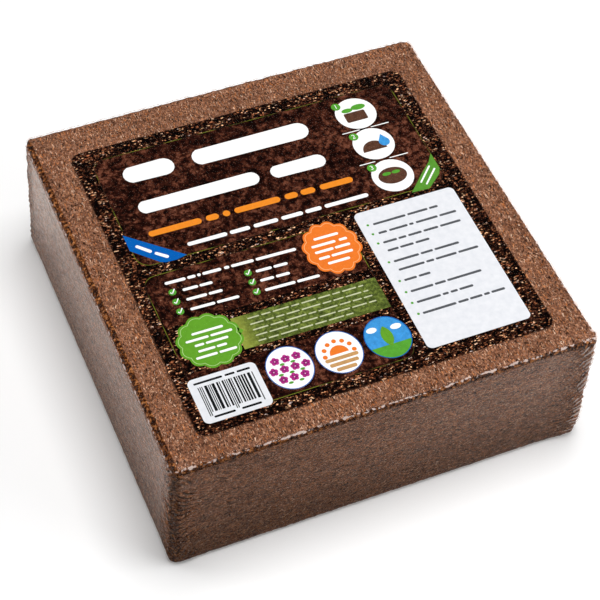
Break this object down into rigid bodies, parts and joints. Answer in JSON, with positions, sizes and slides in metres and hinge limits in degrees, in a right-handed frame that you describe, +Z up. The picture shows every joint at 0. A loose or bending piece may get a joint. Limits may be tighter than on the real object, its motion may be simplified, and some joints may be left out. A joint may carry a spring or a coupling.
{
  "type": "compressed coir block",
  "caption": "Square pressed block of coir in clear shrink film, with a dark printed sheet and white stickers under the film.",
  "frame": {"origin": "middle of the large face that the pack lies on, at the outside of the film", "axes": "+Z up out of the printed face; +X to the right along the front edge, as the print is read; +Y to the back, towards the top of the print"},
  "size_m": [0.302, 0.3033, 0.1076],
  "materials": {
    "coir": "pressed brown coconut fibre and pith, rough",
    "sheet_print": "dark brown printed sheet, satin",
    "sticker_paper": "white coated paper, satin",
    "film": "clear shrink film, glossy"
  },
  "bodies": {
    "root": {"coir_block": "coir", "printed_sheet": "sheet_print", "info_sticker": "sticker_paper", "barcode_sticker": "sticker_paper", "shrink_film": "film"}
  },
  "joints": []
}
